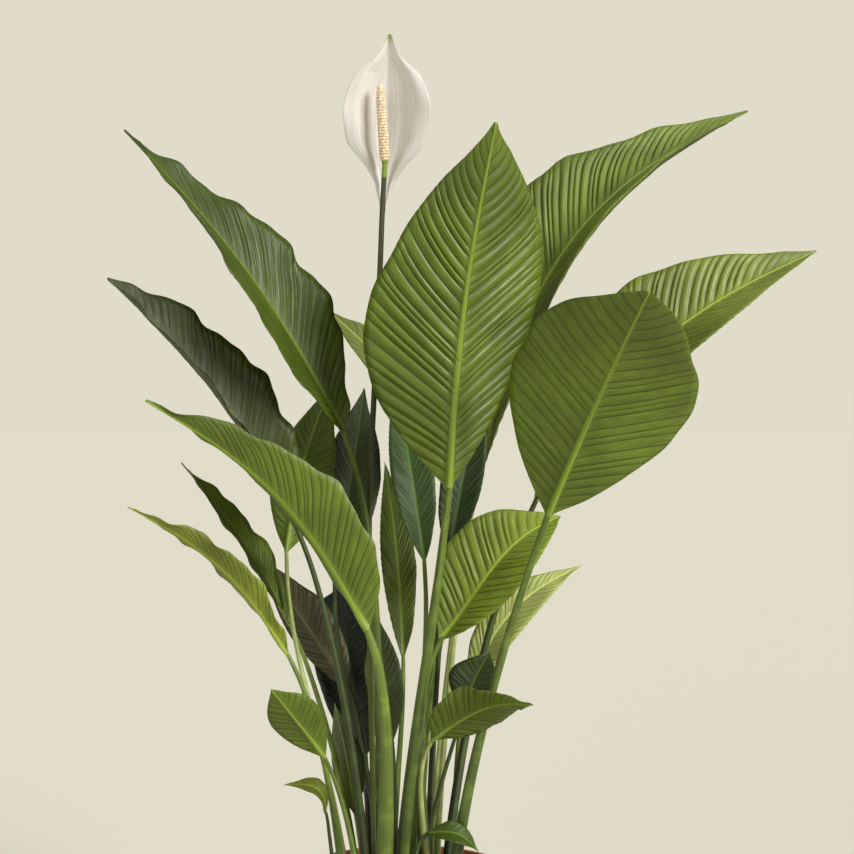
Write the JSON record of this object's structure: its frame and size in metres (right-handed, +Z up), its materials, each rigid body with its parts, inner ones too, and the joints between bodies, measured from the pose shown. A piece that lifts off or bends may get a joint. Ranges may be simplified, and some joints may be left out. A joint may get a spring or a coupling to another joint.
{
  "type": "potted peace lily",
  "caption": "Peace lily in a round nursery pot: arching ribbed leaves on long stalks and one white hooded flower standing above them.",
  "frame": {"origin": "centre of the pot's flat underside, on the surface it stands on", "axes": "+Z up the plant; -Y is the front, which the flower faces; +X to the right seen from the front"},
  "size_m": [0.5488, 0.4404, 0.8021],
  "materials": {
    "terracotta_plastic": "satin moulded plastic",
    "potting_mix": "dark crumbly peat and bark",
    "leaf_stalk": "smooth green stalk",
    "leaf_blade": "glossy ribbed leaf",
    "flower_stalk": "smooth dark green stalk",
    "spathe": "thin translucent white",
    "spadix": "bumpy cream florets"
  },
  "bodies": {
    "root": {"pot": "terracotta_plastic", "soil": "potting_mix", "stalk_front_tall": "leaf_stalk", "leaf_front_tall": "leaf_blade", "stalk_right_round": "leaf_stalk", "leaf_right_round": "leaf_blade", "stalk_upper_right": "leaf_stalk", "leaf_upper_right": "leaf_blade", "stalk_far_right": "leaf_stalk", "leaf_far_right": "leaf_blade", "stalk_upper_left": "leaf_stalk", "leaf_upper_left": "leaf_blade", "stalk_dark_left": "leaf_stalk", "leaf_dark_left": "leaf_blade", "stalk_front_left": "leaf_stalk", "leaf_front_left": "leaf_blade", "stalk_narrow_left": "leaf_stalk", "leaf_narrow_left": "leaf_blade", "stalk_lowest_left": "leaf_stalk", "leaf_lowest_left": "leaf_blade", "stalk_inner_left": "leaf_stalk", "leaf_inner_left": "leaf_blade", "stalk_mid_left": "leaf_stalk", "leaf_mid_left": "leaf_blade", "stalk_dark_middle": "leaf_stalk", "leaf_dark_middle": "leaf_blade", "stalk_back_left": "leaf_stalk", "leaf_back_left": "leaf_blade", "stalk_centre_left": "leaf_stalk", "leaf_centre_left": "leaf_blade", "stalk_centre_right": "leaf_stalk", "leaf_centre_right": "leaf_blade", "stalk_mid_right": "leaf_stalk", "leaf_mid_right": "leaf_blade", "stalk_pale_right": "leaf_stalk", "leaf_pale_right": "leaf_blade", "stalk_small_right": "leaf_stalk", "leaf_small_right": "leaf_blade", "stalk_low_right": "leaf_stalk", "leaf_low_right": "leaf_blade", "stalk_rim_right": "leaf_stalk", "leaf_rim_right": "leaf_blade", "stalk_low_left": "leaf_stalk", "leaf_low_left": "leaf_blade", "stalk_rim_left": "leaf_stalk", "leaf_rim_left": "leaf_blade", "stalk_shaded_left": "leaf_stalk", "leaf_shaded_left": "leaf_blade", "stalk_shaded_middle": "leaf_stalk", "leaf_shaded_middle": "leaf_blade", "stalk_back_middle": "leaf_stalk", "leaf_back_middle": "leaf_blade", "stalk_young_left": "leaf_stalk", "leaf_young_left": "leaf_blade", "stalk_back_arching": "leaf_stalk", "leaf_back_arching": "leaf_blade", "flower_stalk": "flower_stalk", "spathe": "spathe", "spadix": "spadix"}
  },
  "joints": []
}
